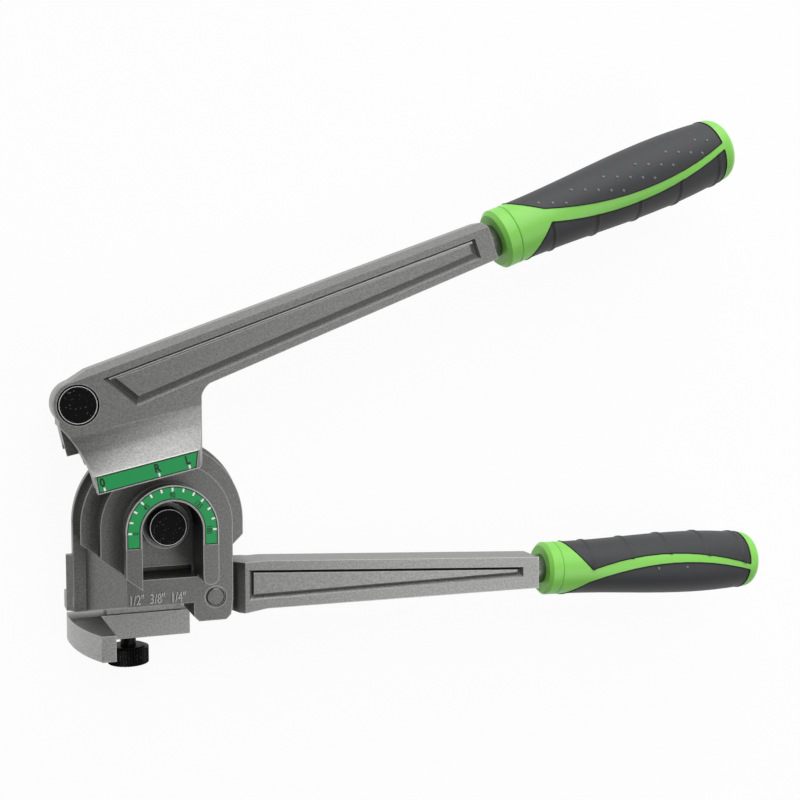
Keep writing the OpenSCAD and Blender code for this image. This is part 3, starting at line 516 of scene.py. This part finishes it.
def seam_bead(name, pad, place, turn, radius):
    """A thin dark round bead along the outer edge of a pad: a painted shadow along its joint with the grip's
    core.
    """
    outline = cad_mesh(pad)
    axis = Vector((math.cos(turn), math.sin(turn), 0))
    mesh = bmesh.new()
    for edge in outline.edges:
        if len(edge.link_faces) != 2 or edge.calc_face_angle() < PAD_EDGE_ANGLE:
            continue
        start, end = (vertex.co.copy() for vertex in edge.verts)
        run = end - start
        middle = (start + end) / 2
        out = square_to(middle - place, axis)
        if max(face.normal.dot(out) for face in edge.link_faces) < OUTSIDE_FACING:
            continue
        bmesh.ops.create_cone(mesh, cap_ends=True, segments=6, radius1=radius, radius2=radius,
                              depth=run.length, matrix=standing(middle, run))
    outline.free()
    return as_object(name, mesh)


def edge_crossing(first, second, level):
    """Where two edges of a recess cross once each is moved inwards by its distance at a level, in mm."""
    lines = []
    for point, angle, insets in (first, second):
        turn = math.radians(angle)
        inwards = Vector((-math.sin(turn), math.cos(turn)))
        lines.append((inwards, inwards.dot(Vector(point)) + insets[level]))
    (a, p), (b, q) = lines
    scale = a.x * b.y - a.y * b.x
    return (p * b.y - q * a.y) / scale, (a.x * q - b.x * p) / scale


def raised_panel(name, place, front, edges):
    """The raised middle of a recess, with sloping sides that leave a groove round it."""
    mesh = bmesh.new()
    rings = []
    for level, depth in enumerate(PANEL_DEPTHS):
        ring = []
        for i in range(len(edges)):
            x, y = edge_crossing(edges[i], edges[(i + 1) % len(edges)], level)
            ring.append(mesh.verts.new(place @ Vector((x * MM, y * MM, (front - depth) * MM))))
        rings.append(ring)
    mesh.faces.new(rings[0])
    mesh.faces.new(reversed(rings[-1]))
    for upper, lower in zip(rings, rings[1:]):
        for i in range(len(edges)):
            j = (i + 1) % len(edges)
            mesh.faces.new((upper[j], upper[i], lower[i], lower[j]))
    return as_object(name, mesh)


def lettering(name, words, height, place, turn, thickness, width, weight):
    """A word as a solid, centred on a place and lying in X and Y."""
    font = bpy.data.curves.new(name, "FONT")
    font.body = words
    font.align_x = "CENTER"
    font.align_y = "CENTER"
    font.size = height / CAPITAL_SHARE
    font.extrude = thickness / 2
    font.offset = weight
    font.resolution_u = 3
    piece = bpy.data.objects.new(name, font)
    piece.matrix_world = (Matrix.Translation(place) @ Matrix.Rotation(turn, 4, "Z")
                          @ Matrix.Diagonal((width, 1, 1, 1)))
    return piece


def studio_floor(radius, rim):
    """A round floor with a low rim that curves up, so that the background stays white from the side."""
    sides = 64
    steps = 6
    mesh = bmesh.new()
    ring = add_circle(mesh, sides, radius - rim, Vector())
    mesh.faces.new(ring)
    for step in range(1, steps + 1):
        bend = math.pi / 2 * step / steps
        above = add_circle(mesh, sides, radius - rim + rim * math.sin(bend),
                           Vector((0, 0, rim * (1 - math.cos(bend)))))
        add_band(mesh, ring, above, True)
        ring = above
    return as_object("floor", mesh)


def add_camera(scene, stage):
    """The camera that takes the photograph's view."""
    camera = bpy.data.objects.new("camera", bpy.data.cameras.new("camera"))
    camera.data.sensor_width = SENSOR_WIDTH
    camera.data.lens = stage.lens
    camera.data.clip_end = CLIP_END
    right = square_to(CAMERA_RIGHT, CAMERA_BACK)
    axes = Matrix((right, CAMERA_BACK.cross(right), CAMERA_BACK)).transposed()
    camera.matrix_world = Matrix.Translation(stage.camera_place) @ axes.to_4x4()
    scene.collection.objects.link(camera)
    scene.camera = camera


def add_world(scene):
    """A soft overhead light box: bright above and to the right, dim below and to the left."""
    scene.world = bpy.data.worlds.new("studio")
    scene.world.use_nodes = True
    tree = scene.world.node_tree
    way = add_node(tree, "ShaderNodeTexCoord")
    facing = add_node(tree, "ShaderNodeVectorMath", {"operation": "DOT_PRODUCT"},
                      {0: way.outputs["Generated"]})
    facing.inputs[1].default_value = BRIGHT_WAY
    level = add_node(tree, "ShaderNodeMapRange",
                     {"From Min": -0.8, "From Max": 0.9, "To Min": 0.02, "To Max": 0.58},
                     {"Value": facing.outputs["Value"]})
    background = tree.nodes["Background"]
    background.inputs["Color"].default_value = (1, 1, 1, 1)
    tree.links.new(level.outputs["Result"], background.inputs["Strength"])


def add_lamps(scene):
    """A large soft lamp over the tool, and a small one that lifts the lower handle."""
    for name, place, size, power in LAMPS:
        lamp = bpy.data.objects.new(name, bpy.data.lights.new(name, "AREA"))
        lamp.data.size = size
        lamp.data.energy = power
        lamp.location = place
        lamp.rotation_euler = (LAMP_AIM - lamp.location).to_track_quat("-Z", "Y").to_euler()
        scene.collection.objects.link(lamp)


class TUBEBENDER_OT_castings(bpy.types.Operator):
    """Paint the cast pieces, round their edges and set the raised panels in the handles"""

    bl_idname = "tubebender.castings"
    bl_label = "Castings"

    def execute(self, context):
        looks = context.scene.tube_bender_looks
        # The former gets a darker copy of the casting paint, a painted shade, and the clamp a paler copy, a
        # painted light; both stand in for how the light falls on them.
        handle_paint = cast_paint(looks, "metallic_enamel_on_casting", 1.0)
        former_shaded_paint = cast_paint(looks, "casting_paint_painted_shade", looks.former_shade)
        clamp_lit_paint = cast_paint(looks, "casting_paint_painted_light", looks.clamp_shade)
        for names, paint in ((HANDLE_CASTINGS, handle_paint), (FORMER_CASTINGS, former_shaded_paint),
                             (CLAMP_CASTINGS, clamp_lit_paint)):
            finish(names, paint)
            round_edges([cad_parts[name] for name in names], looks.edge_round)
        for name, (place, front, body, edges) in RECESSES.items():
            panel = raised_panel(name + "_panel", place, front, edges)
            round_edges([panel], looks.edge_round)
            settle(panel, body, handle_paint)
        return {"FINISHED"}


class TUBEBENDER_OT_pins(bpy.types.Operator):
    """Finish the pins, clips, bushes, nut and thumbscrew"""

    bl_idname = "tubebender.pins"
    bl_label = "Pins and screw"

    def execute(self, context):
        looks = context.scene.tube_bender_looks
        finish(BLACK_STEEL, black_oxide(looks))
        # Ground steel: bright and fairly sharp glints.
        finish(PLAIN_STEEL, plain_finish("ground_steel", linear("#B8B9BB"), 1.0, 0.35))
        # Sintered bronze: warm and dull.
        finish(BUSHES, plain_finish("sintered_bronze", linear("#B08A52"), 1.0, 0.5))
        # A thin light ring on each head: a painted highlight on the chamfered rim of the pin head.
        highlighted = plain_finish("painted_rim_highlight", linear("#D4D4D6"), 0.3, 0.4)
        for node, middle, body in (("centre_pin", Vector(), "base"), ("eye_pin", EYE, "link_arm")):
            face = Vector((0, 0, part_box(node)[1].z))
            ring = flat_ring(node + "_ring", looks.ring_radius, looks.ring_width, middle + face, RING_RISE)
            settle(ring, body, highlighted)
        return {"FINISHED"}


class TUBEBENDER_OT_grips(bpy.types.Operator):
    """Finish the grips' hard cores and soft pads, with their dots in a paler rubber as a painted highlight,
    and a painted shadow along the pads' joints
    """

    bl_idname = "tubebender.grips"
    bl_label = "Grips"

    def execute(self, context):
        looks = context.scene.tube_bender_looks
        # Injection-moulded polypropylene: clean colour with a satin gloss.
        finish(GRIP_CORES, plain_finish("moulded_polypropylene_lime", looks.grip_colour, 0.0, 0.38))
        finish(PALM_PADS + FINGER_PADS, soft_rubber(looks))
        # Paler rubber on the dots: a painted highlight for the light specks on the domes, with small sharp
        # glints from a lower roughness than the pad's.
        dot_highlight = plain_finish("painted_dot_highlight_rubber", linear("#6C6D6F"), 0.0, 0.28)
        # A thin dark line along the pads' lips: a painted shadow along their joint with the core.
        joint_shadow = plain_finish("painted_joint_shadow", linear("#101110"), 0.0, 0.7)
        for side, (place, turn, ratio, body) in GRIPS.items():
            grip = Matrix.Translation(place) @ Matrix.Rotation(turn, 4, "Z") @ Matrix.Scale(ratio, 4)
            dots = pad_dots(f"{side}_palm_dots", f"{side}_palm_pad", grip, looks.dot_radius, looks.dot_rise)
            settle(dots, body, dot_highlight)
            for pad in ("palm", "finger"):
                bead = seam_bead(f"{side}_{pad}_seam", f"{side}_{pad}_pad", place, turn, looks.seam_radius)
                settle(bead, body, joint_shadow)
        return {"FINISHED"}


class TUBEBENDER_OT_dial(bpy.types.Operator):
    """Print the dial's lines and figures, and lay a thin dark line round the edge of its face"""

    bl_idname = "tubebender.dial"
    bl_label = "Angle dial"

    def execute(self, context):
        looks = context.scene.tube_bender_looks
        marks = context.scene.tube_bender_marks
        # Screen-printed enamel: flat colour with a satin gloss.
        finish(("angle_dial",), plain_finish("printed_enamel_green", looks.dial_colour, 0.0, 0.4))
        white = plain_finish("printed_enamel_white", looks.mark_colour, 0.0, 0.5)
        dark = plain_finish("printed_enamel_dark", looks.figure_colour, 0.0, 0.5)
        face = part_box("angle_dial")[1].z
        up = Vector((0, 0, face))
        tick_foot = marks.tick_radius - marks.tick_length
        lines = []
        for i in range(round(math.pi / marks.tick_step) + 1):
            angle = i * marks.tick_step
            out = Vector((math.cos(angle), math.sin(angle), 0))
            lines.append((out * tick_foot + up, out * marks.tick_radius + up, marks.tick_width))
        settle(line_boxes("dial_ticks", lines, marks.print_relief), "base", white)
        lines = border_lines("angle_dial", marks.border_width)
        settle(line_boxes("dial_border", lines, marks.print_relief), "base", dark)
        reach = tick_foot - FIGURE_GAP * marks.figure_height
        for figure in DIAL_FIGURES:
            angle = math.radians(180 - figure)
            place = Vector((reach * math.cos(angle), reach * math.sin(angle), face + marks.print_relief / 2))
            piece = lettering(f"dial_figure_{figure}", str(figure), marks.figure_height, place,
                              angle - math.pi / 2, marks.print_relief, *DIAL_TYPE)
            settle(piece, "base", dark)
        return {"FINISHED"}


class TUBEBENDER_OT_mark_strip(bpy.types.Operator):
    """Print the letters and lines of the mark strip, and lay a thin dark line round the edge of its face, in
    the inks of the dial
    """

    bl_idname = "tubebender.mark_strip"
    bl_label = "Mark strip"

    def execute(self, context):
        marks = context.scene.tube_bender_marks
        finish(("mark_strip",), bpy.data.materials["printed_enamel_green"])
        white = bpy.data.materials["printed_enamel_white"]
        dark = bpy.data.materials["printed_enamel_dark"]
        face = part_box("mark_strip")[1].z
        shoe = Matrix.Translation(EYE + Vector((0, 0, face))) @ Matrix.Rotation(SHOE_TURN, 4, "Z")
        lines = []
        for letter, along in STRIP_LETTERS:
            x = (along + STRIP_LINE_SHIFT) * MM
            foot = shoe @ Vector((x, STRIP_LINE_FOOT * MM, 0))
            head = shoe @ Vector((x, STRIP_LINE_FOOT * MM + marks.tick_length, 0))
            lines.append((foot, head, marks.tick_width))
            place = shoe @ Vector((along * MM, STRIP_LETTER_ROW * MM, marks.print_relief / 2))
            piece = lettering(f"strip_letter_{letter}", letter, marks.letter_height, place, SHOE_TURN,
                              marks.print_relief, *STRIP_TYPE)
            settle(piece, "lever", dark)
        settle(line_boxes("strip_ticks", lines, marks.print_relief), "lever", white)
        lines = border_lines("mark_strip", marks.border_width)
        settle(line_boxes("strip_border", lines, marks.print_relief), "lever", dark)
        return {"FINISHED"}


class TUBEBENDER_OT_size_marks(bpy.types.Operator):
    """Raise the tube sizes on the front of the former, in its paint"""

    bl_idname = "tubebender.size_marks"
    bl_label = "Tube sizes"

    def execute(self, context):
        marks = context.scene.tube_bender_marks
        paint = bpy.data.materials["casting_paint_painted_shade"]
        sink = SIZE_SINK * MM
        middle = SIZE_FACE * MM + (marks.size_relief - sink) / 2
        for words, along in SIZE_MARKS:
            place = Vector((along * MM, SIZE_ROW * MM, middle))
            piece = lettering("size_" + words[0] + "_" + words[2], words, marks.size_height, place, 0.0,
                              marks.size_relief + sink, *SIZE_TYPE)
            settle(piece, "base", paint)
        return {"FINISHED"}


class TUBEBENDER_OT_stage(bpy.types.Operator):
    """Set up the camera, the floor, the surroundings and the lamps"""

    bl_idname = "tubebender.stage"
    bl_label = "Studio"

    def execute(self, context):
        scene = context.scene
        stage = scene.tube_bender_stage
        scene.view_settings.view_transform = "Standard"
        add_camera(scene, stage)
        floor = studio_floor(stage.floor_radius, stage.rim_height)
        floor.location = (*FLOOR_MIDDLE, CAD_BOX[0][2] - FLOOR_GAP)
        scene.collection.objects.link(floor)
        floor.data.materials.append(studio_paper(stage.floor_colour))
        add_world(scene)
        add_lamps(scene)
        return {"FINISHED"}


class TUBEBENDER_PT_panel(bpy.types.Panel):
    """Lists the steps that dress the tube bender"""

    bl_label = "Tube Bender"
    bl_idname = "TUBEBENDER_PT_panel"
    bl_space_type = "VIEW_3D"
    bl_region_type = "UI"
    bl_category = "Tube Bender"

    def draw(self, context):
        for operator in OPERATORS:
            self.layout.operator(operator.bl_idname)


OPERATORS = (TUBEBENDER_OT_castings, TUBEBENDER_OT_pins, TUBEBENDER_OT_grips, TUBEBENDER_OT_dial,
             TUBEBENDER_OT_mark_strip, TUBEBENDER_OT_size_marks, TUBEBENDER_OT_stage)
CLASSES = (TubeBenderLooks, TubeBenderMarks, TubeBenderStage) + OPERATORS + (TUBEBENDER_PT_panel,)


def register():
    for item in CLASSES:
        bpy.utils.register_class(item)
    bpy.types.Scene.tube_bender_looks = bpy.props.PointerProperty(type=TubeBenderLooks)
    bpy.types.Scene.tube_bender_marks = bpy.props.PointerProperty(type=TubeBenderMarks)
    bpy.types.Scene.tube_bender_stage = bpy.props.PointerProperty(type=TubeBenderStage)


def unregister():
    del bpy.types.Scene.tube_bender_stage
    del bpy.types.Scene.tube_bender_marks
    del bpy.types.Scene.tube_bender_looks
    for item in reversed(CLASSES):
        bpy.utils.unregister_class(item)


def main():
    register()
    bpy.ops.tubebender.castings()
    bpy.ops.tubebender.pins()
    bpy.ops.tubebender.grips()
    bpy.ops.tubebender.dial()
    bpy.ops.tubebender.mark_strip()
    bpy.ops.tubebender.size_marks()
    bpy.ops.tubebender.stage()


if __name__ == "__main__":
    main()
